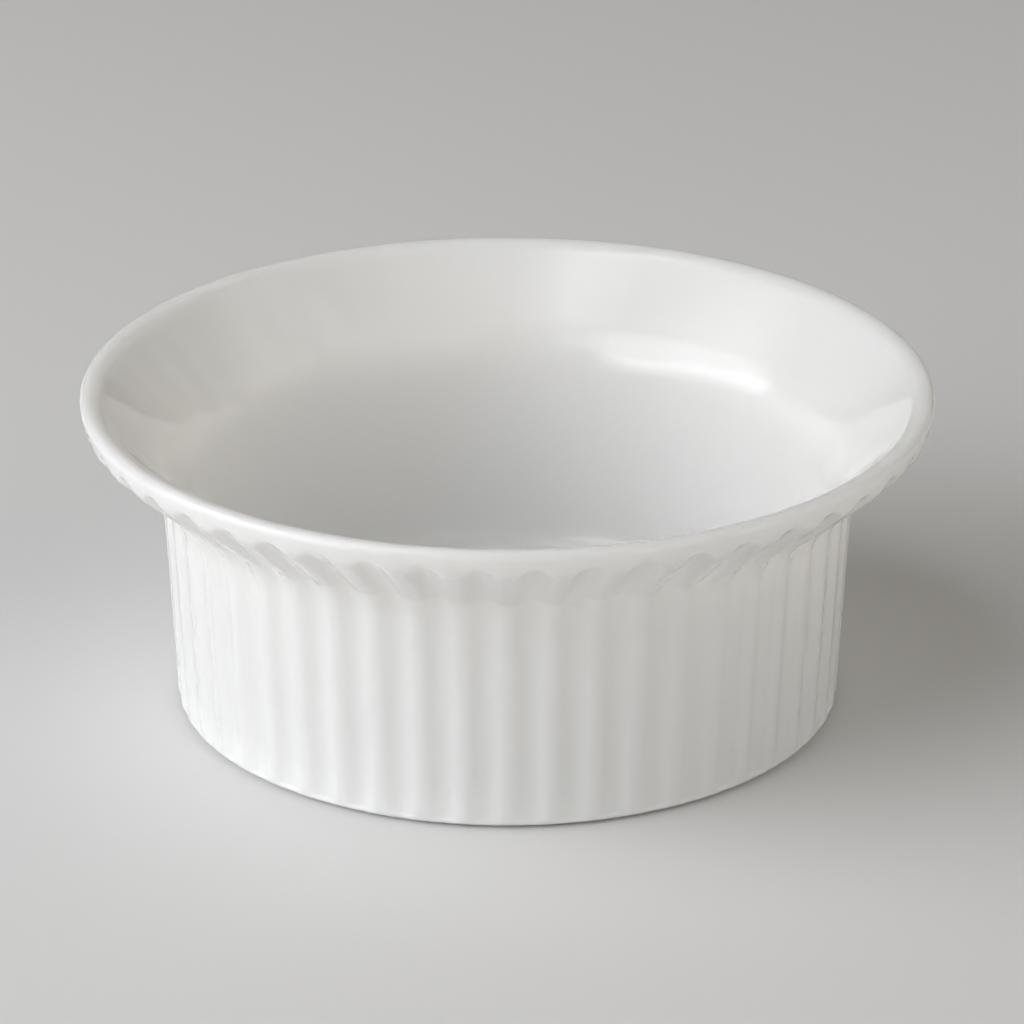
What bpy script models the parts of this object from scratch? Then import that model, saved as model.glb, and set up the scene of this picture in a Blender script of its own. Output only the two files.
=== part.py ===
"""Fluted porcelain coquille dish: one fired body with a flared mouth.

Units are metres and +Z is up. The origin is the middle of the foot, on the table, and a ridge
between two flutes faces -Y.
"""

import math

import bmesh
import bpy
from mathutils import Vector

# Lip: a rounded edge on a band, which leans out from bottom to top. It rolls over more slowly
# on the inside.
RIM_RADIUS = 0.0650
HEIGHT = 0.0504
LIP_ROUND = 0.0011
LIP_ROLL = 0.0029
BAND_HEIGHT = 0.0030
BAND_TILT = math.radians(12.8)
BAND_BEND = 0.0030

# Flare and wall on the outside, measured over the ridges.
FLARE_REACH = 0.0113
FLARE_RISE = 0.0093
NECK_BEND = 0.0032
WALL_LEAN = 0.0019
BASE_EDGE = 0.0007

# Inside. Thicknesses are taken at the ridges, and the wall grows thicker towards the floor.
WALL = 0.0031
BASE_WALL = 0.0066
FLARE_WALL = 0.0026
INNER_NECK_BEND = 0.0160
FLOOR = 0.0027
FLOOR_FILLET = 0.0050

# Foot: a low ring, set in from the wall, round a slightly raised underside.
FOOT_INSET = 0.0012
FOOT_HEIGHT = 0.0004
FOOT_WIDTH = 0.0026
FOOT_SLOPE = 0.0008
UNDERSIDE_RISE = 0.0009

# Flutes: concave grooves with a ridge between each two. They run straight on from the flare into
# the band, and leave it in round arches.
FLUTE_COUNT = 50
WALL_FLUTE_DEPTH = 0.0006
FLARE_FLUTE_DEPTH = 0.00105
FLUTE_FADE = 0.0014

# How finely the round shapes are divided. The columns are counted in each flute's width.
PLAIN_COLUMNS = 2
FLUTED_COLUMNS = 2 * PLAIN_COLUMNS
BEND_STEPS = 3
LIP_STEPS = 3
# Rings across the arches, as shares of their height.
ARCH_RINGS = (0.4, 0.75, 1.0)

# A bend takes at most this share of the shorter side next to it.
BEND_SHARE = 0.45
# Rings closer in height than this are one ring.
RING_GAP = 0.00001
# Edges that turn more than this are shaded sharp.
SHARP_TURN = math.radians(40.0)

PORCELAIN = (0.80, 0.80, 0.785, 1.0)
GLAZE_ROUGHNESS = 0.12


def clear_scene():
    """Removes whatever the scene holds."""
    for thing in list(bpy.data.objects):
        bpy.data.objects.remove(thing, do_unlink=True)


def porcelain_material():
    """White glazed porcelain."""
    material = bpy.data.materials.new("glazed_porcelain")
    material.use_nodes = True
    shader = material.node_tree.nodes["Principled BSDF"]
    shader.inputs["Base Color"].default_value = PORCELAIN
    shader.inputs["Roughness"].default_value = GLAZE_ROUGHNESS
    shader.inputs["Metallic"].default_value = 0.0
    return material


def arc(centre, radius, start, end, steps):
    """Points on an arc in the (radius, height) plane, both ends included."""
    angles = [start + (end - start) * i / steps for i in range(steps + 1)]
    return [centre + radius * Vector((math.cos(a), math.sin(a))) for a in angles]


def rounded_corner(before, corner, after, radius, steps):
    """Points that round a corner, with a smaller bend where a side is too short for it."""
    back = before - corner
    on = after - corner
    half = back.angle(on) / 2
    cut = min(radius / math.tan(half), BEND_SHARE * min(back.length, on.length))
    radius = cut * math.tan(half)
    bisector = (back.normalized() + on.normalized()).normalized()
    centre = corner + bisector * radius / math.sin(half)
    first = corner + back.normalized() * cut - centre
    last = corner + on.normalized() * cut - centre
    start = math.atan2(first.y, first.x)
    turn = math.remainder(math.atan2(last.y, last.x) - start, 2 * math.pi)
    return arc(centre, radius, start, start + turn, steps)


def with_heights(outline, heights):
    """The rising outline with a point added at each height that it lacks."""
    points = [outline[0]]
    for low, high in zip(outline, outline[1:]):
        between = [z for z in sorted(heights) if low.y + RING_GAP < z < high.y - RING_GAP]
        points += [low.lerp(high, (z - low.y) / (high.y - low.y)) for z in between]
        points.append(high)
    return points


class Profile:
    """The corners of the section, worked out from the sizes at the top of the file."""

    def __init__(self):
        self.lip_centre = Vector((RIM_RADIUS - LIP_ROUND, HEIGHT - LIP_ROUND))
        self.roll_centre = Vector((RIM_RADIUS - LIP_ROUND, HEIGHT - LIP_ROLL))
        out_of_band = Vector((math.cos(BAND_TILT), -math.sin(BAND_TILT)))
        up_the_band = Vector((math.sin(BAND_TILT), math.cos(BAND_TILT)))
        self.shoulder = self.lip_centre + LIP_ROUND * out_of_band
        self.band_foot = self.shoulder - BAND_HEIGHT * up_the_band
        self.neck = self.band_foot - Vector((FLARE_REACH, FLARE_RISE))
        self.base = Vector((self.neck.x - WALL_LEAN, FOOT_HEIGHT))
        self.foot_radius = self.base.x - FOOT_INSET
        self.floor_corner = Vector((self.base.x - BASE_WALL, UNDERSIDE_RISE + FLOOR))
        flare_angle = math.atan2(FLARE_RISE, FLARE_REACH)
        self.out_of_flare = Vector((math.sin(flare_angle), -math.cos(flare_angle)))
        # The inner neck lies where the flare and the wall, each with its thickness, meet.
        rise = FLARE_WALL / math.cos(flare_angle) - WALL * math.tan(flare_angle)
        self.inner_neck = Vector((self.neck.x - WALL, self.neck.y + rise))
        # The inside of the flare runs from there to the lip's roll, which it touches.
        way = self.roll_centre - self.inner_neck
        self.inner_angle = math.atan2(way.y, way.x) + math.asin(LIP_ROLL / way.length)
        # A flute leaves the band where the band stands back from the flare by the flute's depth.
        setting_back = self.out_of_flare.dot(-up_the_band)
        self.arch_rise = FLARE_FLUTE_DEPTH / setting_back * up_the_band.y

    def outside(self):
        """From the foot up over the wall and the flare, to the arches' tops on the band."""
        foot_top = Vector((self.foot_radius, FOOT_HEIGHT))
        outline = [foot_top]
        outline += rounded_corner(foot_top, self.base, self.neck, BASE_EDGE, 1)
        outline += rounded_corner(self.base, self.neck, self.band_foot, NECK_BEND, BEND_STEPS)
        outline += rounded_corner(self.neck, self.band_foot, self.shoulder, BAND_BEND, 2)
        fade_top = FOOT_HEIGHT + BASE_EDGE + FLUTE_FADE
        middle = (fade_top + self.neck.y) / 2
        arches = [self.band_foot.y + self.arch_rise * share for share in ARCH_RINGS]
        # The lip itself starts at the shoulder.
        return with_heights([*outline, self.shoulder], [fade_top, middle, *arches])[:-1]

    def lip(self):
        """Over the rounded edge, from the band to the inside of the flare."""
        top = math.pi / 2
        outer = arc(self.lip_centre, LIP_ROUND, -BAND_TILT, 0.0, 1)
        crest = arc(self.lip_centre, LIP_ROUND, 0.0, top, LIP_STEPS)
        inner = arc(self.roll_centre, LIP_ROLL, top, top + self.inner_angle, LIP_STEPS)
        return outer + crest[1:] + inner[1:]

    def inside(self, lip_end):
        """From the lip down the flare and the wall to the floor's edge."""
        centre = Vector((0.0, self.floor_corner.y))
        neck, corner = self.inner_neck, self.floor_corner
        outline = rounded_corner(lip_end, neck, corner, INNER_NECK_BEND, BEND_STEPS + 1)
        outline += rounded_corner(neck, corner, centre, FLOOR_FILLET, BEND_STEPS)
        return outline

    def underside(self):
        """From the middle of the underside out to the foot's outer edge."""
        foot_inner = self.foot_radius - FOOT_WIDTH
        return [
            Vector((foot_inner - FOOT_SLOPE, UNDERSIDE_RISE)),
            Vector((foot_inner, 0.0)),
            Vector((self.foot_radius, 0.0)),
        ]

    def groove_depth(self, point):
        """Depth of a flute's middle, and how much of its width has ended, at a point outside."""
        share = (point.y - self.neck.y) / (self.band_foot.y - self.neck.y)
        share = min(max(share, 0.0), 1.0)
        depth = WALL_FLUTE_DEPTH + (FLARE_FLUTE_DEPTH - WALL_FLUTE_DEPTH) * share
        above = 0.0
        if point.y > (self.neck.y + self.band_foot.y) / 2:
            above = self.out_of_flare.dot(self.band_foot - point) / FLARE_FLUTE_DEPTH
        below = 1.0 - (point.y - FOOT_HEIGHT - BASE_EDGE) / FLUTE_FADE
        return depth, min(max(above, below, 0.0), 1.0)

    def way_out(self, outline, i):
        """The direction out of the surface: that of the flare from its middle up."""
        if outline[i].y > (self.neck.y + self.band_foot.y) / 2:
            return self.out_of_flare
        along = outline[min(i + 1, len(outline) - 1)] - outline[max(i - 1, 0)]
        return Vector((along.y, -along.x)).normalized()


def plain_ring(bm, point):
    """A ring of vertices at one radius and height."""
    count = FLUTE_COUNT * PLAIN_COLUMNS
    angles = [2 * math.pi * i / count for i in range(count)]
    return [bm.verts.new((point.x * math.sin(a), -point.x * math.cos(a), point.y)) for a in angles]


def fluted_ring(bm, point, outward, depth, ended):
    """A ring whose vertices sink into the wall in every flute."""
    ring = []
    for i in range(FLUTE_COUNT * FLUTED_COLUMNS):
        across = 2.0 * (i % FLUTED_COLUMNS) / FLUTED_COLUMNS - 1.0
        cut = depth * max(1.0 - across * across - ended, 0.0)
        radius = point.x - outward.x * cut
        height = point.y - outward.y * cut
        angle = 2 * math.pi * i / (FLUTE_COUNT * FLUTED_COLUMNS)
        ring.append(bm.verts.new((radius * math.sin(angle), -radius * math.cos(angle), height)))
    return ring


def outside_rings(bm, profile):
    """The rings of the outer surface, fluted where the flutes run."""
    outline = profile.outside()
    rings = []
    for i, point in enumerate(outline):
        depth, ended = profile.groove_depth(point)
        if ended < 1.0 - RING_GAP:
            rings.append(fluted_ring(bm, point, profile.way_out(outline, i), depth, ended))
        else:
            rings.append(plain_ring(bm, point))
    return rings


def join_rings(bm, first, second):
    """Skins two rings. One may have a whole multiple of the other's vertices."""
    count = min(len(first), len(second))
    first_step = len(first) // count
    second_step = len(second) // count
    for i in range(count):
        a = [first[(i * first_step + k) % len(first)] for k in range(first_step + 1)]
        b = [second[(i * second_step + k) % len(second)] for k in range(second_step + 1)]
        if first_step == second_step:
            bm.faces.new((a[0], a[1], b[1], b[0]))
        elif first_step > second_step:
            middle = first_step // 2
            fan = [(a[k], a[k + 1], b[0] if k < middle else b[1]) for k in range(first_step)]
            for corners in [*fan, (a[middle], b[1], b[0])]:
                bm.faces.new(corners)
        else:
            middle = second_step // 2
            fan = [(b[k + 1], b[k], a[0] if k < middle else a[1]) for k in range(second_step)]
            for corners in [*fan, (a[0], a[1], b[middle])]:
                bm.faces.new(corners)


def fluted_dish():
    """The dish: underside, outside, lip, inside and floor as one closed skin."""
    profile = Profile()
    lip = profile.lip()
    bm = bmesh.new()
    below = bm.verts.new((0.0, 0.0, UNDERSIDE_RISE))
    above = bm.verts.new((0.0, 0.0, profile.floor_corner.y))
    rings = [plain_ring(bm, point) for point in profile.underside()]
    rings += outside_rings(bm, profile)
    rings += [plain_ring(bm, point) for point in [*lip, *profile.inside(lip[-1])]]
    for first, second in zip(rings, rings[1:]):
        join_rings(bm, first, second)
    count = len(rings[0])
    for i in range(count):
        bm.faces.new((below, rings[0][(i + 1) % count], rings[0][i]))
        bm.faces.new((rings[-1][i], rings[-1][(i + 1) % count], above))
    mesh = bpy.data.meshes.new("fluted_dish")
    bm.to_mesh(mesh)
    bm.free()
    mesh.shade_smooth()
    mesh.set_sharp_from_angle(angle=SHARP_TURN)
    mesh.materials.append(porcelain_material())
    dish = bpy.data.objects.new("fluted_dish", mesh)
    bpy.context.scene.collection.objects.link(dish)
    return dish


clear_scene()
fluted_dish()
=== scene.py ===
"""Fluted porcelain coquille dish, with its glaze and a plain studio.

The file is laid out as an add-on and is run as a script. Lengths are in metres, in the frame of
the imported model: the origin is the middle of the foot, +Z is up and a ridge faces -Y.
"""

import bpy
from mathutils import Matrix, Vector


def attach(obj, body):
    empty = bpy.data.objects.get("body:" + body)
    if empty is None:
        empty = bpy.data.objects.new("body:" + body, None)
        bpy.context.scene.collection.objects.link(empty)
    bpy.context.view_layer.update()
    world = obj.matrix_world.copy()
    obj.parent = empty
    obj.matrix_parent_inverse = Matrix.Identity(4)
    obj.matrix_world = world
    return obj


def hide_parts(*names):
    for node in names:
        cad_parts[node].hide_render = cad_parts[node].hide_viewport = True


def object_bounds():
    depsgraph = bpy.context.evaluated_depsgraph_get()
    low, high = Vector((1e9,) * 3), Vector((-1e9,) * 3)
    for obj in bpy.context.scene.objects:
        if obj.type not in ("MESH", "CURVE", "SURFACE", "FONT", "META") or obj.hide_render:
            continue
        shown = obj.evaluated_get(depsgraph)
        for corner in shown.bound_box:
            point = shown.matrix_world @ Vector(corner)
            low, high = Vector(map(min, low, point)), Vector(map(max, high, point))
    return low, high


bl_info = {
    "name": "Fluted Coquille Dish",
    "version": (1, 0, 0),
    "blender": (4, 5, 0),
    "location": "3D View > Sidebar > Coquille Dish",
    "description": "Builds a fluted porcelain coquille dish, its glaze and a plain studio",
    "category": "Object",
}

import math
from collections import namedtuple

import bmesh
import bpy
from bpy.props import FloatProperty, FloatVectorProperty, IntProperty, PointerProperty
from mathutils import Matrix, Vector

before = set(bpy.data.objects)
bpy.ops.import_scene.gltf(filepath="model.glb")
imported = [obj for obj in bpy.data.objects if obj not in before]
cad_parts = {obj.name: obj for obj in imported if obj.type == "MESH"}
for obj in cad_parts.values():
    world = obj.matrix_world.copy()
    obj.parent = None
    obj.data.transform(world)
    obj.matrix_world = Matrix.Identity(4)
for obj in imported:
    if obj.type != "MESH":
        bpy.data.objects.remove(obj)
CAD_LOW, CAD_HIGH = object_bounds()

BODY = "root"
CAD_NODE = "fluted_dish"
GROOVE = "groove"

# How the skin is divided: the longest stretch of the outline without a ring, how far the columns
# of a flute crowd towards its ridges, from 0 for even, and how close points are merged.
RING_SPACING = 0.006
COLUMN_CROWDING = 0.4
MERGE_DISTANCE = 1e-5

# The uneven surface: how many swells lie in a metre, and the seed that settles their places.
SWELLS = 22.0
SEED = 7

# What keeps neighbouring corners of the outline just clear of each other.
ARCH_MARGIN = 1.04
BEND_MARGIN = 1.02
LIP_MARGIN = 0.999

# The flutes start this share of the base edge's radius over the foot.
FLUTE_START = 0.1
# They are cut only where the surface faces outwards by more than this.
LEAST_OUTWARD = 0.1
# How a flute's depth falls off beyond its edges.
FALL_BEYOND = -1.5

# The two finishes: the width of their slow and their fine waves, and of their specks the spacing,
# the largest size and the share that shows.
GLAZE_WAVES = {"Width": 0.028, "Fine width": 0.0016}
GLAZE_SPECKS = {"Spacing": 0.009, "Size": 0.00022, "Share": 0.22}
BARE_WAVES = {"Width": 0.012, "Fine width": 0.0004}
BARE_SPECKS = {"Spacing": 0.004, "Size": 0.0003, "Share": 0.3}

# How much of the pooled colour the flutes and the slow waves bring.
FLUTE_POOLING = 0.7
WAVE_POOLING = 0.3

# The relief of the two finishes: the height of a slow swell and of the fine grain.
GLAZE_SWELL = 0.00010
GLAZE_GRAIN = 0.0000025
BARE_GRAIN = 0.00002

# The darker shade in the bare porcelain and in the floor, as a share of their colour.
WORN_SHADE = 0.86
FLOOR_SHADE = 0.985

# The floor reaches out of every view, and every lamp faces one point inside the dish.
FLOOR_RADIUS = 4.0
LAMP_AIM = Vector((0.0, 0.0, 0.03))

# Where the nodes of a tree stand in its editor.
NODES_IN_COLUMN = 8
NODE_WIDTH = 240.0
NODE_HEIGHT = 220.0

# One corner of the dish's outline: its place as (radius, height), how round it is, the points
# of its bend, and how many rings at least are added between each of these and the next point.
Corner = namedtuple("Corner", "name place bend steps cuts")

# One lamp: where it stands as seen from the dish, how wide and high it looks from there, its
# power in watts, and the shares of its width and height over which it fades at each edge.
# Angles are in degrees. Azimuth 0 is towards the camera and 90 to the right of the picture.
Lamp = namedtuple("Lamp", "name azimuth elevation width height power side_fade end_fade colour")


class CoquilleSizes(bpy.types.PropertyGroup):
    """Sizes of the dish. Those of the outside are taken over the ridges between the flutes."""

    rim_radius: FloatProperty(
        name="Rim radius",
        description="From the axis to the widest point of the lip",
        default=CAD_HIGH.x, min=0.02, precision=4, unit="LENGTH")
    height: FloatProperty(
        name="Height",
        description="From the table to the top of the lip",
        default=CAD_HIGH.z, min=0.01, precision=4, unit="LENGTH")
    lip_round: FloatProperty(
        name="Lip radius",
        description="Radius of the lip's outer edge in section",
        default=0.0011, min=0.0002, precision=4, unit="LENGTH")
    lip_roll: FloatProperty(
        name="Lip roll",
        description="Radius of the lip's slower bend on the inside",
        default=0.0037, min=0.0002, precision=4, unit="LENGTH")
    band_height: FloatProperty(
        name="Band height",
        description="Length of the band under the lip, along its slope",
        default=0.0030, min=0.0002, precision=4, unit="LENGTH")
    band_tilt: FloatProperty(
        name="Band tilt",
        description="How far the band leans out from upright",
        default=math.radians(12.8), subtype="ANGLE")
    band_bend: FloatProperty(
        name="Band bend",
        description="Radius of the bend between the flare and the band",
        default=0.0030, min=0.0, precision=4, unit="LENGTH")
    flare_reach: FloatProperty(
        name="Flare reach",
        description="How far the flare goes outwards",
        default=0.0113, min=0.001, precision=4, unit="LENGTH")
    flare_rise: FloatProperty(
        name="Flare rise",
        description="How far the flare goes upwards",
        default=0.0099, min=0.001, precision=4, unit="LENGTH")
    neck_bend: FloatProperty(
        name="Neck bend",
        description="Radius of the outer bend between the wall and the flare",
        default=0.0075, min=0.0, precision=4, unit="LENGTH")
    wall_lean: FloatProperty(
        name="Wall lean",
        description="How much wider the wall is at the neck than at its base, in radius",
        default=0.0019, precision=4, unit="LENGTH")
    base_edge: FloatProperty(
        name="Base edge",
        description="Radius of the edge between the wall and the underside",
        default=0.0007, min=0.0, precision=4, unit="LENGTH")
    wall: FloatProperty(
        name="Wall at the neck",
        description="Thickness of the wall at the neck",
        default=0.0031, min=0.001, precision=4, unit="LENGTH")
    base_wall: FloatProperty(
        name="Wall at the base",
        description="Thickness of the wall at the floor",
        default=0.0066, min=0.001, precision=4, unit="LENGTH")
    flare_wall: FloatProperty(
        name="Flare thickness",
        description="Thickness of the flare at the neck",
        default=0.0026, min=0.001, precision=4, unit="LENGTH")
    inner_neck_bend: FloatProperty(
        name="Inner neck bend",
        description="Radius of the inner bend between the wall and the flare",
        default=0.0160, min=0.0, precision=4, unit="LENGTH")
    floor: FloatProperty(
        name="Floor",
        description="Thickness of the floor",
        default=0.0027, min=0.001, precision=4, unit="LENGTH")
    floor_fillet: FloatProperty(
        name="Floor fillet",
        description="Radius of the bend between the floor and the wall inside",
        default=0.0050, min=0.0, precision=4, unit="LENGTH")
    foot_inset: FloatProperty(
        name="Foot inset",
        description="How far the foot ring stands in from the base of the wall",
        default=0.0012, min=0.0, precision=4, unit="LENGTH")
    foot_height: FloatProperty(
        name="Foot height",
        description="How far the foot ring stands out of the wall's lower edge",
        default=0.0005, min=0.0, precision=4, unit="LENGTH")
    foot_width: FloatProperty(
        name="Foot width",
        description="Width of the foot ring's flat face",
        default=0.0026, min=0.0005, precision=4, unit="LENGTH")
    foot_slope: FloatProperty(
        name="Foot slope",
        description="Width of the slope from the foot ring up to the underside",
        default=0.0008, min=0.0, precision=4, unit="LENGTH")
    foot_bend: FloatProperty(
        name="Foot bend",
        description="Radius of the foot ring's own edges",
        default=0.0002, min=0.0, precision=5, unit="LENGTH")
    underside_rise: FloatProperty(
        name="Underside rise",
        description="Height of the underside inside the foot ring",
        default=0.0009, min=0.0, precision=4, unit="LENGTH")
    flute_count: IntProperty(
        name="Flutes",
        description="Number of flutes round the dish",
        default=50, min=6)
    wall_flute_depth: FloatProperty(
        name="Wall flute depth",
        description="Depth of a flute on the wall",
        default=0.0006, min=0.0, precision=4, unit="LENGTH")
    flare_flute_depth: FloatProperty(
        name="Flare flute depth",
        description="Depth of a flute at the top of the flare, where it runs on into the band",
        default=0.00105, min=0.0001, precision=5, unit="LENGTH")
    flute_fade: FloatProperty(
        name="Flute fade",
        description="Height over which the flutes fade out at the base",
        default=0.0009, min=0.0001, precision=4, unit="LENGTH")
    ridge_round: FloatProperty(
        name="Ridge rounding",
        description="How far the glaze rounds a ridge, as a share of half a flute's width",
        default=0.46, min=0.01, max=0.99, subtype="FACTOR")
    opening_lead: FloatProperty(
        name="Opening lead",
        description="How far under the neck the flutes start to deepen",
        default=0.0030, min=0.0, precision=4, unit="LENGTH")
    ridge_widening: FloatProperty(
        name="Ridge widening",
        description="How much of a flute's width the ridges gain up the flare",
        default=0.48, min=0.0, max=2.0, subtype="FACTOR")
    side_steepness: FloatProperty(
        name="Side steepness",
        description="How far the flutes' sides steepen up the flare",
        default=0.65, min=0.0, max=0.9, subtype="FACTOR")
    arch_softness: FloatProperty(
        name="Arch softness",
        description="How far the glaze rounds the edge of an arch, as a share of the flute depth",
        default=0.42, min=0.0, max=1.0, subtype="FACTOR")
    unevenness: FloatProperty(
        name="Unevenness",
        description="How far the hand-finished surface wanders from its true shape",
        default=0.00004, min=0.0, precision=5, unit="LENGTH")
    flute_columns: IntProperty(
        name="Columns in a flute",
        description="Columns of faces in the width of one flute",
        default=12, min=4)


class CoquilleFinish(bpy.types.PropertyGroup):
    """Colours and gloss of the glaze and of the bare porcelain."""

    glaze_colour: FloatVectorProperty(
        name="Glaze",
        description="Colour of the porcelain through its clear glaze",
        default=(0.838, 0.839, 0.831), size=3, min=0.0, max=1.0, subtype="COLOR")
    pooled_colour: FloatVectorProperty(
        name="Pooled glaze",
        description="Colour where the glaze lies thick, in the flutes and corners",
        default=(0.808, 0.811, 0.802), size=3, min=0.0, max=1.0, subtype="COLOR")
    speck_colour: FloatVectorProperty(
        name="Specks",
        description="Colour of the small iron specks under the glaze",
        default=(0.33, 0.30, 0.27), size=3, min=0.0, max=1.0, subtype="COLOR")
    bare_colour: FloatVectorProperty(
        name="Bare porcelain",
        description="Colour of the unglazed face of the foot ring",
        default=(0.74, 0.715, 0.67), size=3, min=0.0, max=1.0, subtype="COLOR")
    glaze_roughness: FloatProperty(
        name="Glaze roughness",
        description="Roughness of the glossy glaze",
        default=0.03, min=0.0, max=1.0, subtype="FACTOR")
    bare_roughness: FloatProperty(
        name="Bare roughness",
        description="Roughness of the unglazed face of the foot ring",
        default=0.75, min=0.0, max=1.0, subtype="FACTOR")


class CoquilleStudio(bpy.types.PropertyGroup):
    """The floor, the light and the camera's place."""

    floor_colour: FloatVectorProperty(
        name="Floor",
        description="Colour of the pale floor",
        default=(0.78, 0.775, 0.77), size=3, min=0.0, max=1.0, subtype="COLOR")
    room_colour: FloatVectorProperty(
        name="Room",
        description="Colour of the even light from all round",
        default=(1.0, 0.953, 0.845), size=3, min=0.0, max=1.0, subtype="COLOR")
    room_light: FloatProperty(
        name="Room light",
        description="Strength of the even light from all round",
        default=0.10, min=0.0)
    window_colour: FloatVectorProperty(
        name="Window light",
        description="Colour of the daylight from the left",
        default=(0.955, 0.97, 1.0), size=3, min=0.0, max=1.0, subtype="COLOR")
    fill_colour: FloatVectorProperty(
        name="Fill light",
        description="Colour of the weaker light from the right and from above",
        default=(1.0, 0.961, 0.905), size=3, min=0.0, max=1.0, subtype="COLOR")
    lamp_light: FloatProperty(
        name="Lamp light",
        description="Factor on the power of all lamps",
        default=1.0, min=0.0)
    lamp_distance: FloatProperty(
        name="Lamp distance",
        description="From the middle of the dish to each lamp",
        default=1.15, min=0.1, unit="LENGTH")
    camera_distance: FloatProperty(
        name="Camera distance",
        description="From the middle of the foot to the camera",
        default=0.8571, min=0.1, precision=4, unit="LENGTH")
    camera_elevation: FloatProperty(
        name="Camera elevation",
        description="Height of the camera over the table, as an angle at the foot",
        default=math.radians(24.94), subtype="ANGLE")
    camera_pitch: FloatProperty(
        name="Camera pitch",
        description="How far the camera is tipped up from looking at the middle of the foot",
        default=math.radians(1.788), subtype="ANGLE")
    camera_yaw: FloatProperty(
        name="Camera yaw",
        description="How far the camera is turned right from looking at the middle of the foot",
        default=math.radians(0.052), subtype="ANGLE")
    camera_lens: FloatProperty(
        name="Camera lens",
        description="Focal length for a 36 mm wide sensor, in millimetres",
        default=193.36, min=1.0)


def feed(tree, socket, value):
    """Gives an input a value, or joins another node's output to it."""
    if isinstance(value, bpy.types.NodeSocket):
        tree.links.new(value, socket)
    else:
        socket.default_value = value


def add(tree, kind, inputs=None, **settings):
    """Adds a node, sets it up and feeds its inputs, which are named or numbered."""
    node = tree.nodes.new(kind)
    for name, value in settings.items():
        setattr(node, name, value)
    for key, value in (inputs or {}).items():
        feed(tree, node.inputs[key], value)
    return node


def calc(tree, operation, *values):
    """The result of a Math node."""
    node = add(tree, "ShaderNodeMath", dict(enumerate(values)), operation=operation)
    return node.outputs[0]


def ramp(tree, value, start, end, low=0.0, high=1.0):
    """A value carried smoothly from low at start to high at end."""
    inputs = {"Value": value, "From Min": start, "From Max": end, "To Min": low, "To Max": high}
    node = add(tree, "ShaderNodeMapRange", inputs, interpolation_type="SMOOTHSTEP")
    return node.outputs["Result"]


def by_index(tree, data_type, values):
    """Picks for each point the value that stands at its place in the list."""
    switch = add(tree, "GeometryNodeIndexSwitch", data_type=data_type)
    while len(switch.index_switch_items) < len(values):
        switch.index_switch_items.new()
    index = add(tree, "GeometryNodeInputIndex")
    feed(tree, switch.inputs["Index"], index.outputs["Index"])
    for place, value in enumerate(values):
        feed(tree, switch.inputs[place + 1], value)
    return switch.outputs[0]


def apart(tree, vector):
    """The first two numbers of a vector: here a radius and a height."""
    outputs = add(tree, "ShaderNodeSeparateXYZ", {0: vector}).outputs
    return outputs["X"], outputs["Y"]


def capture(tree, geometry, data_type, name, value):
    """Keeps a field's value on the geometry. Returns the geometry and the kept value."""
    node = add(tree, "GeometryNodeCaptureAttribute", domain="POINT")
    node.capture_items.new(data_type, name)
    feed(tree, node.inputs["Geometry"], geometry)
    feed(tree, node.inputs[name], value)
    return node.outputs["Geometry"], node.outputs[name]


def arrange(tree):
    """Sets the nodes out in columns, in the order in which they were made."""
    for place, node in enumerate(tree.nodes):
        column, row = divmod(place, NODES_IN_COLUMN)
        node.location = (column * NODE_WIDTH, -row * NODE_HEIGHT)


def flute_foot(sizes):
    """The height at which the flutes start."""
    return sizes.foot_height + FLUTE_START * sizes.base_edge


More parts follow.
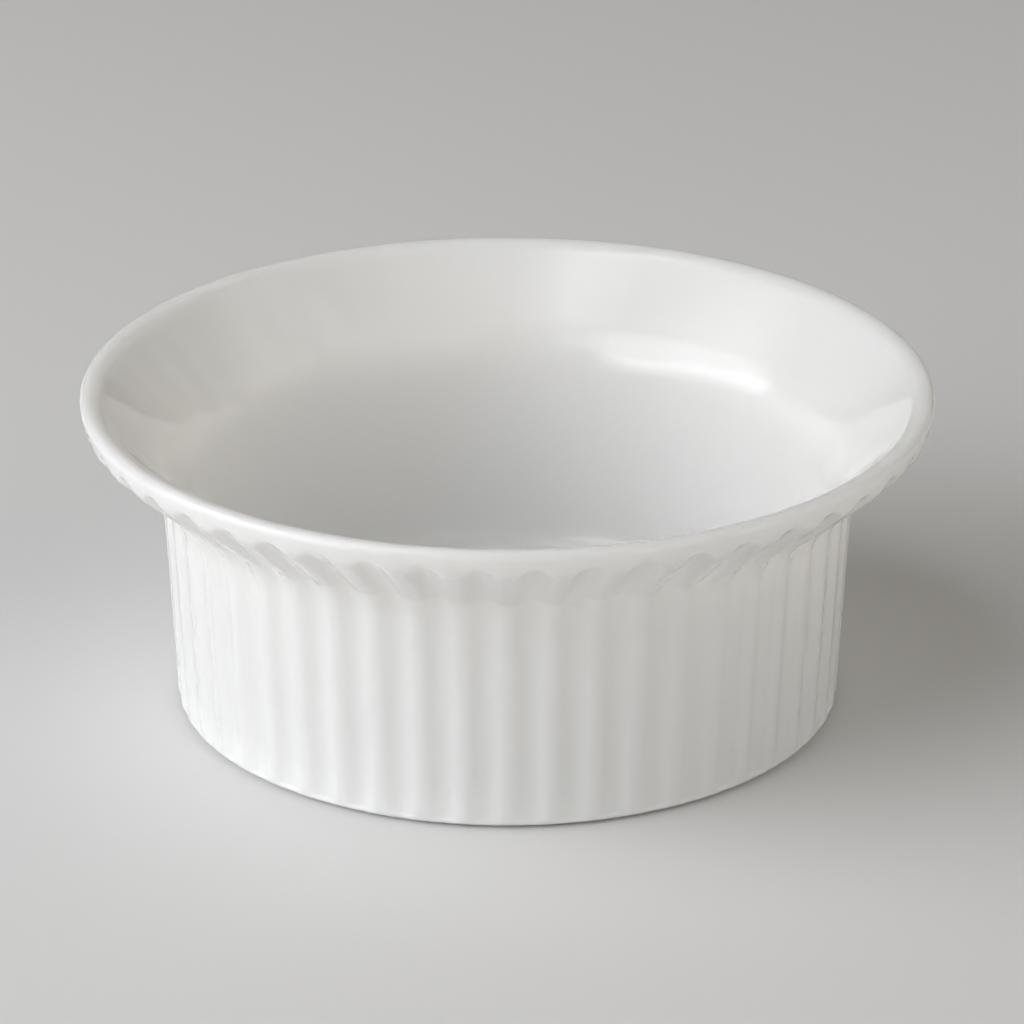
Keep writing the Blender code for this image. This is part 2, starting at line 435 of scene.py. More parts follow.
def dish_corners(sizes):
    """The corners of the outline, from the middle of the underside round to that of the floor."""
    lip_centre = Vector((sizes.rim_radius - sizes.lip_round, sizes.height - sizes.lip_round))
    out_of_band = Vector((math.cos(sizes.band_tilt), -math.sin(sizes.band_tilt)))
    up_the_band = Vector((math.sin(sizes.band_tilt), math.cos(sizes.band_tilt)))
    shoulder = lip_centre + sizes.lip_round * out_of_band
    band_foot = shoulder - sizes.band_height * up_the_band
    neck = band_foot - Vector((sizes.flare_reach, sizes.flare_rise))
    base = Vector((neck.x - sizes.wall_lean, sizes.foot_height))
    foot_radius = base.x - sizes.foot_inset
    foot_inner = foot_radius - sizes.foot_width
    up_the_wall = (neck - base) / (neck.y - base.y)
    fade_end = base + up_the_wall * (flute_foot(sizes) + sizes.flute_fade - base.y)
    flare_angle = math.atan2(sizes.flare_rise, sizes.flare_reach)
    out_of_flare = Vector((math.sin(flare_angle), -math.cos(flare_angle)))
    # A flute leaves the band where the band stands back from the flare by the flute's depth.
    arch_run = sizes.flare_flute_depth / out_of_flare.dot(-up_the_band)
    arch_top = band_foot + up_the_band * arch_run * ARCH_MARGIN
    bend_turn = math.pi / 2 - sizes.band_tilt - flare_angle
    bend_run = sizes.band_bend * math.tan(bend_turn / 2)
    arch_side = band_foot + up_the_band * bend_run * BEND_MARGIN
    # The inner neck lies where the flare and the wall, each with its thickness, meet.
    rise = sizes.flare_wall / math.cos(flare_angle) - sizes.wall * math.tan(flare_angle)
    inner_neck = Vector((neck.x - sizes.wall, neck.y + rise))
    # The inside of the flare runs from there to the lip's roll, which it touches.
    roll_centre = Vector((lip_centre.x, sizes.height - sizes.lip_roll))
    way = roll_centre - inner_neck
    inner_angle = math.atan2(way.y, way.x) + math.asin(sizes.lip_roll / way.length)
    outer_turn = math.pi / 2 + sizes.band_tilt
    lip_outer = Vector((lip_centre.x + sizes.lip_round * math.tan(outer_turn / 2), sizes.height))
    lip_inner = Vector((lip_centre.x - sizes.lip_roll * math.tan(inner_angle / 2), sizes.height))
    floor_top = sizes.underside_rise + sizes.floor
    floor_corner = Vector((base.x - sizes.base_wall, floor_top))
    rise_edge = Vector((foot_inner - sizes.foot_slope, sizes.underside_rise))
    return [
        Corner("Underside middle", Vector((0.0, sizes.underside_rise)), 0.0, 0, 0),
        Corner("Underside edge", rise_edge, 2 * sizes.foot_bend, 3, 0),
        Corner("Foot inner edge", Vector((foot_inner, 0.0)), sizes.foot_bend, 3, 0),
        Corner("Foot outer edge", Vector((foot_radius, 0.0)), sizes.foot_bend, 2, 0),
        Corner("Foot top", Vector((foot_radius, sizes.foot_height)), sizes.foot_bend / 2, 2, 0),
        Corner("Base", base, sizes.base_edge, 10, 1),
        Corner("Fade end", fade_end, 0.0, 0, 0),
        Corner("Neck", neck, sizes.neck_bend, 9, 0),
        Corner("Band foot", band_foot, sizes.band_bend, 16, 1),
        Corner("Arch side", arch_side, 0.0, 0, 9),
        Corner("Arch top", arch_top, 0.0, 0, 0),
        Corner("Lip outer", lip_outer, sizes.lip_round * LIP_MARGIN, 10, 0),
        Corner("Lip inner", lip_inner, sizes.lip_roll * LIP_MARGIN, 9, 0),
        Corner("Inner neck", inner_neck, sizes.inner_neck_bend, 16, 0),
        Corner("Floor corner", floor_corner, sizes.floor_fillet, 10, 0),
        Corner("Floor middle", Vector((0.0, floor_top)), 0.0, 0, 0),
    ]


class DishTree:
    """The node tree that turns the outline round the axis and sinks the flutes into it."""

    def __init__(self, corners):
        self.tree = bpy.data.node_groups.new("Fluted turning", "GeometryNodeTree")
        self.tree.is_modifier = True
        self.corners = corners
        self.sockets = {}
        self.declare()
        self.given = add(self.tree, "NodeGroupInput").outputs
        skin, kept = self.carry_round(self.outline())
        self.close_and_glaze(self.flutes(skin, kept))
        arrange(self.tree)

    def socket(self, name, kind, in_out="INPUT"):
        """Adds a named input or output to the tree."""
        made = self.tree.interface.new_socket(name=name, in_out=in_out, socket_type=kind)
        self.sockets[name] = made.identifier

    def declare(self):
        """The named inputs: the outline's corners and bends, the flutes and the finish."""
        for corner in self.corners:
            self.socket(corner.name, "NodeSocketVector")
            if corner.bend:
                self.socket(corner.name + " bend", "NodeSocketFloat")
        for name in ("Flutes", "Columns in a flute", "Seed"):
            self.socket(name, "NodeSocketInt")
        for name in (
            "Wall flute depth", "Flare flute depth", "Flute low", "Flute fade", "Ring spacing",
            "Opening low", "Opening high", "Ridge widening", "Side steepness", "Ridge rounding",
            "Arch softness", "Column crowding", "Unevenness", "Unevenness scale", "Bare height",
        ):
            self.socket(name, "NodeSocketFloat")
        for name in ("Glaze", "Bare porcelain"):
            self.socket(name, "NodeSocketMaterial")
        self.socket("Dish", "NodeSocketGeometry", "OUTPUT")

    def outline(self):
        """The rounded outline as a curve, with a point for each ring of the skin."""
        tree, given = self.tree, self.given
        places = by_index(tree, "VECTOR", [given[c.name] for c in self.corners])
        bends = [given[c.name + " bend"] if c.bend else 0.0 for c in self.corners]
        cuts = by_index(tree, "INT", [c.cuts for c in self.corners])
        points = {"Count": len(self.corners), "Position": places}
        points = add(tree, "GeometryNodePoints", points).outputs[0]
        line = add(tree, "GeometryNodePointsToCurves", {"Points": points}).outputs[0]
        line, cuts = capture(tree, line, "INT", "Cuts", cuts)
        bend = {
            "Curve": line,
            "Count": by_index(tree, "INT", [c.steps for c in self.corners]),
            "Radius": by_index(tree, "FLOAT", bends),
            "Limit Radius": True,
        }
        line = add(tree, "GeometryNodeFilletCurve", bend, mode="POLY").outputs[0]
        # A long straight run gets enough rings to follow the uneven surface.
        here = add(tree, "GeometryNodeInputPosition").outputs[0]
        index = add(tree, "GeometryNodeInputIndex").outputs[0]
        after = {"Value": here, "Index": calc(tree, "ADD", index, 1)}
        after = add(tree, "GeometryNodeFieldAtIndex", after, data_type="FLOAT_VECTOR").outputs[0]
        run = add(tree, "ShaderNodeVectorMath", {0: here, 1: after}, operation="DISTANCE")
        rings = calc(tree, "DIVIDE", run.outputs["Value"], given["Ring spacing"])
        cuts = calc(tree, "MAXIMUM", cuts, calc(tree, "FLOOR", rings))
        return add(tree, "GeometryNodeSubdivideCurve", {"Curve": line, "Cuts": cuts}).outputs[0]

    def carry_round(self, line):
        """Carries the outline round a circle, as a skin that is put in its place later.

        Also returns what each point keeps: its place in the outline, the outline's direction
        there, and how many flutes it has been carried past.
        """
        tree, given = self.tree, self.given
        here = add(tree, "GeometryNodeInputPosition").outputs[0]
        line, place = capture(tree, line, "VECTOR", "Place", here)
        along = add(tree, "GeometryNodeInputTangent").outputs[0]
        line, along = capture(tree, line, "VECTOR", "Along", along)
        columns = calc(tree, "MULTIPLY", given["Flutes"], given["Columns in a flute"])
        circle = add(tree, "GeometryNodeCurvePrimitiveCircle", {"Resolution": columns})
        index = add(tree, "GeometryNodeInputIndex").outputs[0]
        turn = calc(tree, "DIVIDE", index, given["Columns in a flute"])
        circle, turn = capture(tree, circle.outputs["Curve"], "FLOAT", "Turn", turn)
        skin = add(tree, "GeometryNodeCurveToMesh", {"Curve": circle, "Profile Curve": line})
        return skin.outputs[0], (place, along, turn)

    def flutes(self, skin, kept):
        """Puts the skin in its place, with the flutes sunk into its outside."""
        tree, given = self.tree, self.given
        place, along, turn = kept
        radius, height = apart(tree, place)
        along_x, along_y = apart(tree, along)
        outward = along_y, calc(tree, "MULTIPLY", along_x, -1.0)
        part, angle = self.columns(turn)
        opening = ramp(tree, height, given["Opening low"], given["Opening high"])
        hollow = self.flute_section(part, opening)
        hollow = calc(tree, "SUBTRACT", hollow, self.flute_end(radius, height))
        hollow = calc(tree, "SMOOTH_MAX", hollow, 0.0, given["Arch softness"])
        outside = calc(tree, "GREATER_THAN", outward[0], LEAST_OUTWARD)
        hollow = calc(tree, "MULTIPLY", hollow, outside)
        deeper = calc(tree, "SUBTRACT", given["Flare flute depth"], given["Wall flute depth"])
        depth = calc(tree, "MULTIPLY_ADD", deeper, opening, given["Wall flute depth"])
        cut = calc(tree, "MULTIPLY", hollow, depth)
        cut_way = self.cut_direction(outward, height)
        sine, cosine = calc(tree, "SINE", angle), calc(tree, "COSINE", angle)
        wander = self.wander(radius, height, sine, cosine)
        moved = []
        for start, out, way in zip((radius, height), outward, cut_way):
            sunk = calc(tree, "MULTIPLY", out, wander)
            sunk = calc(tree, "MULTIPLY_ADD", way, cut, sunk)
            moved.append(calc(tree, "SUBTRACT", start, sunk))
        final = {
            "X": calc(tree, "MULTIPLY", moved[0], sine),
            "Y": calc(tree, "MULTIPLY", moved[0], calc(tree, "MULTIPLY", cosine, -1.0)),
            "Z": moved[1],
        }
        final = add(tree, "ShaderNodeCombineXYZ", final).outputs[0]
        placed = {"Geometry": skin, "Position": final}
        placed = add(tree, "GeometryNodeSetPosition", placed).outputs[0]
        marked = {"Geometry": placed, "Name": GROOVE, "Value": hollow}
        marked = add(tree, "GeometryNodeStoreNamedAttribute", marked, data_type="FLOAT")
        return marked.outputs[0]

    def wander(self, radius, height, sine, cosine):
        """How far the uneven surface lies within its true place."""
        tree, given = self.tree, self.given
        around = {
            "X": calc(tree, "MULTIPLY", radius, sine),
            "Y": calc(tree, "MULTIPLY", radius, cosine),
            "Z": height,
        }
        noise = {
            "Vector": add(tree, "ShaderNodeCombineXYZ", around).outputs[0],
            "Scale": given["Unevenness scale"],
            "W": given["Seed"],
            "Detail": 1.0,
        }
        noise = add(tree, "ShaderNodeTexNoise", noise, noise_dimensions="4D").outputs[0]
        return calc(tree, "MULTIPLY", noise, given["Unevenness"])

    def columns(self, turn):
        """Place within a flute from 0 to 1, and the angle round the dish, of each column."""
        tree, given = self.tree, self.given
        # The columns stand closer together near a ridge, where the surface turns fastest.
        whole = calc(tree, "FLOOR", turn)
        part = calc(tree, "FRACT", turn)
        wave = calc(tree, "SINE", calc(tree, "MULTIPLY", part, math.tau))
        shift = calc(tree, "DIVIDE", given["Column crowding"], math.tau)
        part = calc(tree, "SUBTRACT", part, calc(tree, "MULTIPLY", wave, shift))
        flute = calc(tree, "DIVIDE", calc(tree, "ADD", whole, part), given["Flutes"])
        return part, calc(tree, "MULTIPLY", flute, math.tau)

    def flute_section(self, part, opening):
        """A flute's depth across its width: 1 in the middle, 0 at its edges, less beyond them.

        The opening is 0 where the flute has its shape of the wall, and 1 where it has that of the
        flare.
        """
        tree, given = self.tree, self.given
        # The flutes hardly widen up the flare, so that the ridges between them do.
        wider = calc(tree, "MULTIPLY_ADD", opening, given["Ridge widening"], 1.0)
        across = calc(tree, "ABSOLUTE", calc(tree, "MULTIPLY_ADD", part, 2.0, -1.0))
        across = calc(tree, "MULTIPLY", across, wider)
        beyond = calc(tree, "MAXIMUM", calc(tree, "SUBTRACT", across, 1.0), 0.0)
        across = calc(tree, "MINIMUM", across, 1.0)
        round_start = calc(tree, "SUBTRACT", 1.0, given["Ridge rounding"])
        hollow = calc(tree, "DIVIDE", calc(tree, "MULTIPLY", across, across), round_start)
        hollow = calc(tree, "SUBTRACT", 1.0, hollow)
        to_ridge = calc(tree, "SUBTRACT", 1.0, across)
        ridge = calc(tree, "MULTIPLY", to_ridge, to_ridge)
        ridge = calc(tree, "DIVIDE", ridge, given["Ridge rounding"])
        on_ridge = calc(tree, "GREATER_THAN", across, round_start)
        step = calc(tree, "MULTIPLY", on_ridge, calc(tree, "SUBTRACT", ridge, hollow))
        hollow = calc(tree, "ADD", hollow, step)
        # On the flare the flutes have steeper sides, and so the arches that end them do too.
        power = calc(tree, "MULTIPLY", opening, given["Side steepness"])
        hollow = calc(tree, "POWER", hollow, calc(tree, "SUBTRACT", 1.0, power))
        return calc(tree, "MULTIPLY_ADD", beyond, FALL_BEYOND, hollow)

    def flute_end(self, radius, height):
        """The share of a flute's depth that has run out, at the band and at the base."""
        tree, given = self.tree, self.given
        flare = self.flare_way()
        band_x, band_y = apart(tree, given["Band foot"])
        inwards = calc(tree, "SUBTRACT", band_x, radius)
        below = calc(tree, "SUBTRACT", band_y, height)
        set_back = calc(tree, "MULTIPLY", flare[0], below)
        set_back = calc(tree, "SUBTRACT", calc(tree, "MULTIPLY", flare[1], inwards), set_back)
        above = calc(tree, "DIVIDE", set_back, given["Flare flute depth"])
        above = calc(tree, "MULTIPLY", above, self.is_upper(height))
        to_base = calc(tree, "SUBTRACT", height, given["Flute low"])
        to_base = calc(tree, "DIVIDE", to_base, given["Flute fade"])
        below = calc(tree, "SUBTRACT", 1.0, to_base)
        return calc(tree, "MAXIMUM", calc(tree, "MAXIMUM", above, below), 0.0)

    def flare_way(self):
        """The direction up the flare."""
        tree, given = self.tree, self.given
        way = {0: given["Band foot"], 1: given["Neck"]}
        way = add(tree, "ShaderNodeVectorMath", way, operation="SUBTRACT").outputs[0]
        way = add(tree, "ShaderNodeVectorMath", {0: way}, operation="NORMALIZE").outputs[0]
        return apart(tree, way)

    def is_upper(self, height):
        """1 from the middle of the flare up, 0 below."""
        tree, given = self.tree, self.given
        neck, band = apart(tree, given["Neck"])[1], apart(tree, given["Band foot"])[1]
        middle = calc(tree, "MULTIPLY", calc(tree, "ADD", neck, band), 0.5)
        return calc(tree, "GREATER_THAN", height, middle)

    def cut_direction(self, outward, height):
        """The flutes are cut square to the wall, and from the flare up square to the flare."""
        tree = self.tree
        flare = self.flare_way()
        square = flare[1], calc(tree, "MULTIPLY", flare[0], -1.0)
        upper = self.is_upper(height)
        mixed = []
        for out, way in zip(outward, square):
            change = calc(tree, "SUBTRACT", way, out)
            mixed.append(calc(tree, "MULTIPLY_ADD", change, upper, out))
        return mixed

    def close_and_glaze(self, skin):
        """Closes the two middles, smooths the skin and gives it its two finishes."""
        tree, given = self.tree, self.given
        skin = {"Geometry": skin, "Distance": MERGE_DISTANCE}
        skin = add(tree, "GeometryNodeMergeByDistance", skin)
        skin = add(tree, "GeometryNodeSetShadeSmooth", {"Geometry": skin.outputs[0]})
        skin = add(tree, "GeometryNodeRealizeInstances", {"Geometry": skin.outputs[0]})
        glazed = {"Geometry": skin.outputs[0], "Material": given["Glaze"]}
        glazed = add(tree, "GeometryNodeSetMaterial", glazed).outputs[0]
        height = add(tree, "GeometryNodeInputPosition").outputs[0]
        height = add(tree, "ShaderNodeSeparateXYZ", {0: height}).outputs["Z"]
        bare = {
            "Geometry": glazed,
            "Selection": calc(tree, "LESS_THAN", height, given["Bare height"]),
            "Material": given["Bare porcelain"],
        }
        bare = add(tree, "GeometryNodeSetMaterial", bare).outputs[0]
        add(tree, "NodeGroupOutput", {"Dish": bare})

    def modifier_values(self, sizes, glaze, bare):
        """What each named input is set to.

        A flute opens up from just under the neck to just under the band.
        """
        values = {c.name: (c.place.x, c.place.y, 0.0) for c in self.corners}
        values.update({c.name + " bend": c.bend for c in self.corners if c.bend})
        level = {c.name: c.place.y for c in self.corners}
        values.update({
            "Flutes": sizes.flute_count,
            "Columns in a flute": sizes.flute_columns,
            "Seed": SEED,
            "Wall flute depth": sizes.wall_flute_depth,
            "Flare flute depth": sizes.flare_flute_depth,
            "Flute low": flute_foot(sizes),
            "Flute fade": sizes.flute_fade,
            "Ring spacing": RING_SPACING,
            "Opening low": level["Neck"] - sizes.opening_lead,
            "Opening high": level["Band foot"] - sizes.opening_lead / 2,
            "Ridge widening": sizes.ridge_widening,
            "Side steepness": sizes.side_steepness,
            "Ridge rounding": sizes.ridge_round,
            "Arch softness": sizes.arch_softness,
            "Column crowding": COLUMN_CROWDING,
            "Unevenness": sizes.unevenness,
            "Unevenness scale": SWELLS,
            "Bare height": sizes.foot_bend,
            "Glaze": glaze,
            "Bare porcelain": bare,
        })
        return values


def turned_mesh(name, maker, values):
    """Runs the tree on an empty mesh and returns the result as a plain object."""
    blank = bpy.data.objects.new(name + "_maker", bpy.data.meshes.new(name + "_maker"))
    bpy.context.scene.collection.objects.link(blank)
    modifier = blank.modifiers.new("Fluted turning", "NODES")
    modifier.node_group = maker.tree
    for key, value in values.items():
        modifier[maker.sockets[key]] = value
    bpy.context.view_layer.update()
    evaluated = blank.evaluated_get(bpy.context.evaluated_depsgraph_get())
    mesh = bpy.data.meshes.new_from_object(evaluated)
    bpy.data.objects.remove(blank, do_unlink=True)
    mesh.name = name
    outward_faces(mesh)
    piece = bpy.data.objects.new(name, mesh)
    bpy.context.scene.collection.objects.link(piece)
    return piece


def outward_faces(mesh):
    """Turns the faces of a closed mesh outwards, if they point inwards."""
    work = bmesh.new()
    work.from_mesh(mesh)
    if any(not edge.is_manifold for edge in work.edges):
        raise RuntimeError("the dish's skin isn't closed")
    if work.calc_volume(signed=True) < 0.0:
        bmesh.ops.reverse_faces(work, faces=work.faces)
    work.to_mesh(mesh)
    work.free()


def shader_group(name, inputs, outputs):
    """An empty shader node group with named number inputs and outputs."""
    group = bpy.data.node_groups.new(name, "ShaderNodeTree")
    for key, default in inputs.items():
        made = group.interface.new_socket(name=key, in_out="INPUT", socket_type="NodeSocketFloat")
        made.default_value = default
    for key in outputs:
        group.interface.new_socket(name=key, in_out="OUTPUT", socket_type="NodeSocketFloat")
    return group


def kiln_specks():
    """A group that scatters small round specks, few of which show."""
    group = shader_group("Kiln specks", GLAZE_SPECKS, ["Mask"])
    given = add(group, "NodeGroupInput").outputs
    here = add(group, "ShaderNodeTexCoord").outputs["Object"]
    scale = calc(group, "DIVIDE", 1.0, given["Spacing"])
    cells = add(group, "ShaderNodeTexVoronoi", {"Vector": here, "Scale": scale})
    from_middle = calc(group, "MULTIPLY", cells.outputs["Distance"], given["Spacing"])
    random = add(group, "ShaderNodeSeparateColor", {0: cells.outputs["Color"]}).outputs
    size = calc(group, "MULTIPLY", random["Green"], given["Size"])
    core = calc(group, "MULTIPLY", size, 0.5)
    near = calc(group, "SUBTRACT", 1.0, ramp(group, from_middle, core, size))
    shown = calc(group, "LESS_THAN", random["Red"], given["Share"])
    add(group, "NodeGroupOutput", {"Mask": calc(group, "MULTIPLY", near, shown)})
    arrange(group)
    return group


def slow_waves():
    """A group that gives a slow, cloudy value from 0 to 1, and a finer one."""
    group = shader_group("Slow waves", GLAZE_WAVES, ["Slow", "Fine"])
    given = add(group, "NodeGroupInput").outputs
    here = add(group, "ShaderNodeTexCoord").outputs["Object"]
    values = {}
    for name, width, detail in (("Slow", "Width", 1.0), ("Fine", "Fine width", 2.0)):
        scale = calc(group, "DIVIDE", 1.0, given[width])
        noise = {"Vector": here, "Scale": scale, "Detail": detail, "Roughness": 0.5}
        values[name] = add(group, "ShaderNodeTexNoise", noise).outputs[0]
    add(group, "NodeGroupOutput", values)
    arrange(group)
    return group


def blend_colour(tree, factor, first, second):
    """Mixes two colours, given as colours or sockets."""
    inputs = {"Factor": factor, 6: first, 7: second}
    return add(tree, "ShaderNodeMix", inputs, data_type="RGBA").outputs[2]


def opaque(colour):
    """A colour property as the four numbers that a node takes."""
    return (*colour, 1.0)


def surface_material(name):
    """A new material, its tree and its shader."""
    material = bpy.data.materials.new(name)
    material.use_nodes = True
    tree = material.node_tree
    return material, tree, tree.nodes["Principled BSDF"]


def speckled(tree, colour, finish, specks, values, strength):
    """A colour with the specks laid over it."""
    speck = add(tree, "ShaderNodeGroup", values, node_tree=specks)
    shade = calc(tree, "MULTIPLY", speck.outputs["Mask"], strength)
    return blend_colour(tree, shade, colour, opaque(finish.speck_colour))


def give_relief(tree, shader, height):
    """Lets the shader follow a relief, given as its height in metres."""
    bump = add(tree, "ShaderNodeBump", {"Height": height, "Distance": 1.0, "Strength": 1.0})
    feed(tree, shader.inputs["Normal"], bump.outputs[0])


def glaze_material(finish, specks, waves):
    """White porcelain under a clear glaze, which pools in the flutes and thins over ridges."""
    material, tree, shader = surface_material("porcelain_glaze")
    cloud = add(tree, "ShaderNodeGroup", GLAZE_WAVES, node_tree=waves).outputs
    groove = add(tree, "ShaderNodeAttribute", attribute_name=GROOVE).outputs["Fac"]
    pooled = calc(tree, "MULTIPLY", groove, FLUTE_POOLING)
    cloudy = ramp(tree, cloud["Slow"], start=0.42, end=0.68, high=WAVE_POOLING)
    pooled = calc(tree, "ADD", pooled, cloudy)
    colour = blend_colour(tree, pooled, opaque(finish.glaze_colour), opaque(finish.pooled_colour))
    colour = speckled(tree, colour, finish, specks, GLAZE_SPECKS, strength=0.6)
    feed(tree, shader.inputs["Base Color"], colour)
    rough = ramp(tree, cloud["Slow"], start=0.3, end=0.7, low=0.85, high=1.2)
    rough = calc(tree, "MULTIPLY", rough, finish.glaze_roughness)
    feed(tree, shader.inputs["Roughness"], rough)
    height = calc(tree, "MULTIPLY", cloud["Slow"], GLAZE_SWELL)
    height = calc(tree, "MULTIPLY_ADD", cloud["Fine"], GLAZE_GRAIN, height)
    give_relief(tree, shader, height)
    shader.inputs["IOR"].default_value = 1.5
    # Light goes a few millimetres into the porcelain, so the flutes look soft.
    shader.subsurface_method = "BURLEY"
    shader.inputs["Subsurface Weight"].default_value = 1.0
    shader.inputs["Subsurface Radius"].default_value = (1.0, 0.94, 0.86)
    shader.inputs["Subsurface Scale"].default_value = 0.0050
    arrange(tree)
    return material


def bare_material(finish, specks, waves):
    """Matt, slightly warm bare porcelain, with its fine grain."""
    material, tree, shader = surface_material("bare_porcelain")
    cloud = add(tree, "ShaderNodeGroup", BARE_WAVES, node_tree=waves).outputs
    clean = Vector(finish.bare_colour)
    shade = ramp(tree, cloud["Slow"], start=0.35, end=0.7)
    colour = blend_colour(tree, shade, opaque(clean), opaque(clean * WORN_SHADE))
    colour = speckled(tree, colour, finish, specks, BARE_SPECKS, strength=0.5)
    feed(tree, shader.inputs["Base Color"], colour)
    rough = ramp(tree, cloud["Fine"], start=0.3, end=0.7, low=0.9, high=1.1)
    rough = calc(tree, "MULTIPLY", rough, finish.bare_roughness)
    feed(tree, shader.inputs["Roughness"], rough)
    give_relief(tree, shader, calc(tree, "MULTIPLY", cloud["Fine"], BARE_GRAIN))
    arrange(tree)
    return material


def floor_material(studio):
    """The pale, matt floor."""
    material, tree, shader = surface_material("pale_floor")
    here = add(tree, "ShaderNodeTexCoord").outputs["Object"]
    noise = {"Vector": here, "Scale": 3.0, "Detail": 2.0}
    cloud = add(tree, "ShaderNodeTexNoise", noise).outputs[0]
    clean = Vector(studio.floor_colour)
    shade = ramp(tree, cloud, start=0.3, end=0.7)
    colour = blend_colour(tree, shade, opaque(clean), opaque(clean * FLOOR_SHADE))
    feed(tree, shader.inputs["Base Color"], colour)
    shader.inputs["Roughness"].default_value = 0.65
    shader.inputs["Specular IOR Level"].default_value = 0.2
    arrange(tree)
    return material


def studio_world(studio):
    """Even light from all round."""
    world = bpy.data.worlds.new("studio_world")
    world.use_nodes = True
    room = world.node_tree.nodes["Background"]
    room.inputs["Strength"].default_value = studio.room_light
    room.inputs["Color"].default_value = opaque(studio.room_colour)
    bpy.context.scene.world = world


def studio_floor(studio):
    """A round floor, large enough to reach out of every view."""
    mesh = bpy.data.meshes.new("studio_floor")
    work = bmesh.new()
    bmesh.ops.create_circle(work, cap_ends=True, radius=FLOOR_RADIUS, segments=64)
    work.to_mesh(mesh)
    work.free()
    mesh.materials.append(floor_material(studio))
    floor = bpy.data.objects.new("studio_floor", mesh)
    bpy.context.scene.collection.objects.link(floor)


def fade_edges(light, side_fade, end_fade):
    """Lets a lamp's light fade out softly towards its edges."""
    light.use_nodes = True
    tree = light.node_tree
    emission = tree.nodes["Emission"]
    place = apart(tree, add(tree, "ShaderNodeNewGeometry").outputs["Parametric"])
    shares = []
    half = 0.5
    for part, fade in zip(place, (side_fade, end_fade)):
        from_middle = calc(tree, "ABSOLUTE", calc(tree, "SUBTRACT", part, half))
        shares.append(ramp(tree, from_middle, half - fade, half, low=1.0, high=0.0))
    feed(tree, emission.inputs["Strength"], calc(tree, "MULTIPLY", *shares))
    arrange(tree)


def studio_lamps(studio):
    """Soft rectangular lamps that all face the dish."""
    cool, warm = studio.window_colour, studio.fill_colour
    lamps = [
        Lamp("window", -74.0, 22.5, 62.0, 16.0, 2.15, 0.06, 0.45, cool),
        Lamp("left_sheet", -70.0, 24.0, 72.0, 48.0, 18.1, 0.15, 0.5, cool),
        Lamp("left_high", -66.0, 44.0, 80.0, 34.0, 9.9, 0.3, 0.5, cool),
        Lamp("left_top", -70.0, 70.0, 60.0, 24.0, 5.4, 0.4, 0.5, cool),
        Lamp("left_low", -62.0, 6.0, 60.0, 11.0, 2.1, 0.3, 0.3, cool),
        Lamp("right_sheet", 63.0, 33.0, 78.0, 46.0, 3.45, 0.04, 0.04, warm),
        Lamp("right_window", 92.0, 24.0, 64.0, 48.0, 3.1, 0.5, 0.45, warm),
        Lamp("right_low", 50.0, 6.0, 66.0, 10.0, 1.9, 0.3, 0.3, cool),
        Lamp("back_sheet", 180.0, 32.0, 110.0, 60.0, 1.7, 0.4, 0.3, warm),
        Lamp("ceiling", 0.0, 89.0, 43.0, 43.0, 0.36, 0.45, 0.45, warm),
    ]
    for lamp in lamps:
        light = bpy.data.lights.new(lamp.name, "AREA")
        light.shape = "RECTANGLE"
        light.size = 2 * studio.lamp_distance * math.tan(math.radians(lamp.width / 2))
        light.size_y = 2 * studio.lamp_distance * math.tan(math.radians(lamp.height / 2))
        light.energy = lamp.power * studio.lamp_light
        light.color = lamp.colour
        fade_edges(light, lamp.side_fade, lamp.end_fade)
        azimuth, elevation = math.radians(lamp.azimuth), math.radians(lamp.elevation)
        flat = math.cos(elevation)
        way = Vector((math.sin(azimuth) * flat, -math.cos(azimuth) * flat, math.sin(elevation)))
        stand = bpy.data.objects.new(lamp.name, light)
        stand.location = LAMP_AIM + way * studio.lamp_distance
        stand.rotation_euler = (-way).to_track_quat("-Z", "Y").to_euler()
        stand.visible_camera = False
        bpy.context.scene.collection.objects.link(stand)


def studio_camera(studio):
    """The camera of the photograph's view."""
    low = math.cos(studio.camera_elevation)
    high = math.sin(studio.camera_elevation)
    camera = bpy.data.cameras.new("studio_camera")
    camera.sensor_width = 36.0
    camera.lens = studio.camera_lens
    camera.clip_start = 0.01
    stand = bpy.data.objects.new("studio_camera", camera)
    place = Vector((0.0, -low, high)) * studio.camera_distance
    tip = math.pi / 2 - studio.camera_elevation + studio.camera_pitch
    turn = Matrix.Rotation(-studio.camera_yaw, 4, "Z")
    stand.matrix_world = Matrix.Translation(place) @ turn @ Matrix.Rotation(tip, 4, "X")
    bpy.context.scene.collection.objects.link(stand)
    bpy.context.scene.camera = stand


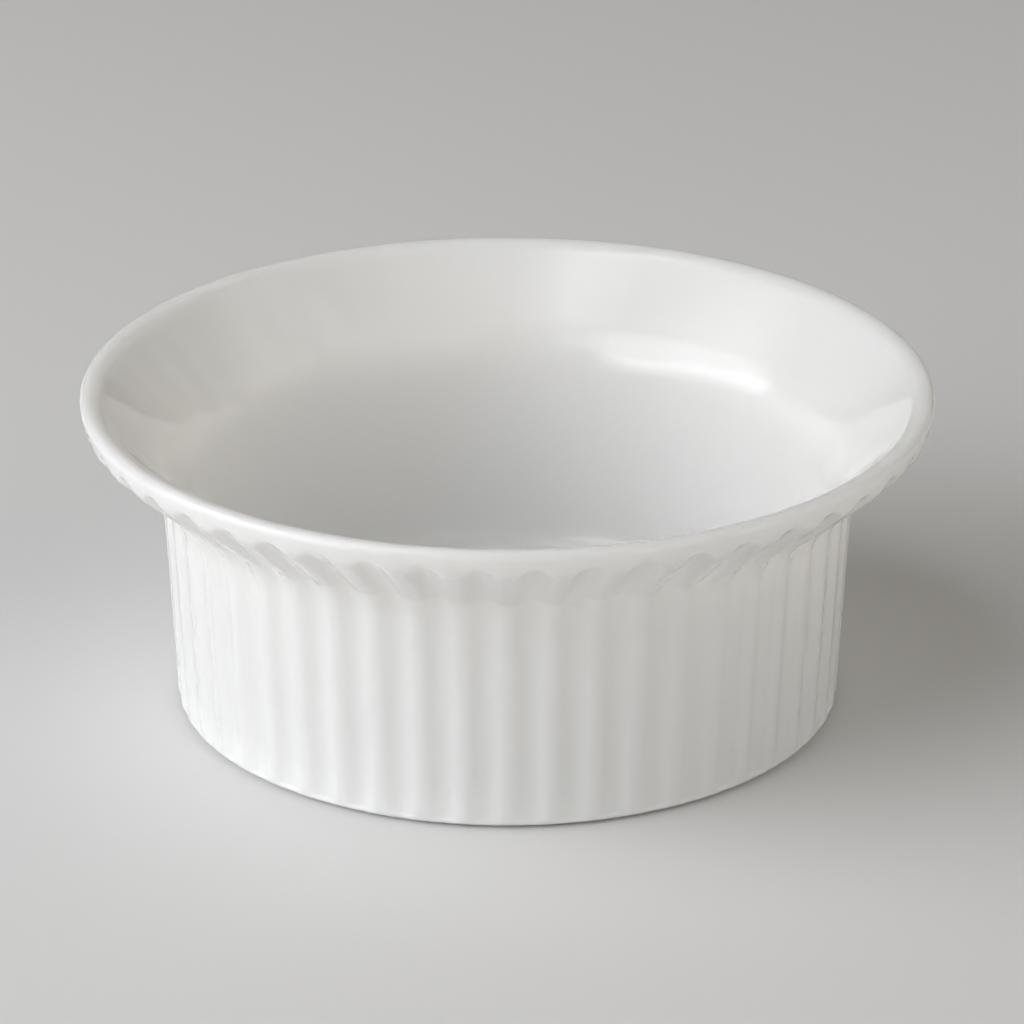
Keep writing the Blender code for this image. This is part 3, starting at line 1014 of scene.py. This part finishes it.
class COQUILLE_OT_build_dish(bpy.types.Operator):
    """Builds the fluted dish with its glaze and its bare foot ring"""

    bl_idname = "coquille.build_dish"
    bl_label = "Build Dish"

    def execute(self, context):
        sizes, finish = context.scene.coquille_sizes, context.scene.coquille_finish
        specks, waves = kiln_specks(), slow_waves()
        glaze = glaze_material(finish, specks, waves)
        bare = bare_material(finish, specks, waves)
        maker = DishTree(dish_corners(sizes))
        dish = turned_mesh("dish_body", maker, maker.modifier_values(sizes, glaze, bare))
        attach(dish, BODY)
        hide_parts(CAD_NODE)
        return {"FINISHED"}


class COQUILLE_OT_build_studio(bpy.types.Operator):
    """Sets up the pale floor, the soft lamps, the even room light and the camera"""

    bl_idname = "coquille.build_studio"
    bl_label = "Build Studio"

    def execute(self, context):
        studio = context.scene.coquille_studio
        studio_floor(studio)
        studio_lamps(studio)
        studio_world(studio)
        studio_camera(studio)
        context.scene.view_settings.view_transform = "Standard"
        return {"FINISHED"}


class COQUILLE_PT_panel(bpy.types.Panel):
    """Lists the sizes, the finish and the studio, with a button for each operator"""

    bl_idname = "COQUILLE_PT_panel"
    bl_label = "Coquille Dish"
    bl_space_type = "VIEW_3D"
    bl_region_type = "UI"
    bl_category = "Coquille Dish"

    def draw(self, context):
        layout = self.layout
        scene = context.scene
        for heading, group, operator in (
            ("Sizes", scene.coquille_sizes, COQUILLE_OT_build_dish.bl_idname),
            ("Finish", scene.coquille_finish, None),
            ("Studio", scene.coquille_studio, COQUILLE_OT_build_studio.bl_idname),
        ):
            box = layout.box()
            box.label(text=heading)
            for name in group.__annotations__:
                box.prop(group, name)
            if operator:
                box.operator(operator)


CLASSES = (
    CoquilleSizes,
    CoquilleFinish,
    CoquilleStudio,
    COQUILLE_OT_build_dish,
    COQUILLE_OT_build_studio,
    COQUILLE_PT_panel,
)


def register():
    """Makes the classes and the scene's three groups of settings known to Blender."""
    for kind in CLASSES:
        bpy.utils.register_class(kind)
    bpy.types.Scene.coquille_sizes = PointerProperty(type=CoquilleSizes)
    bpy.types.Scene.coquille_finish = PointerProperty(type=CoquilleFinish)
    bpy.types.Scene.coquille_studio = PointerProperty(type=CoquilleStudio)


def unregister():
    """Takes back what register does."""
    del bpy.types.Scene.coquille_studio
    del bpy.types.Scene.coquille_finish
    del bpy.types.Scene.coquille_sizes
    for kind in reversed(CLASSES):
        bpy.utils.unregister_class(kind)


def main():
    """Builds the dish and its studio."""
    register()
    bpy.ops.coquille.build_dish()
    bpy.ops.coquille.build_studio()


if __name__ == "__main__":
    main()
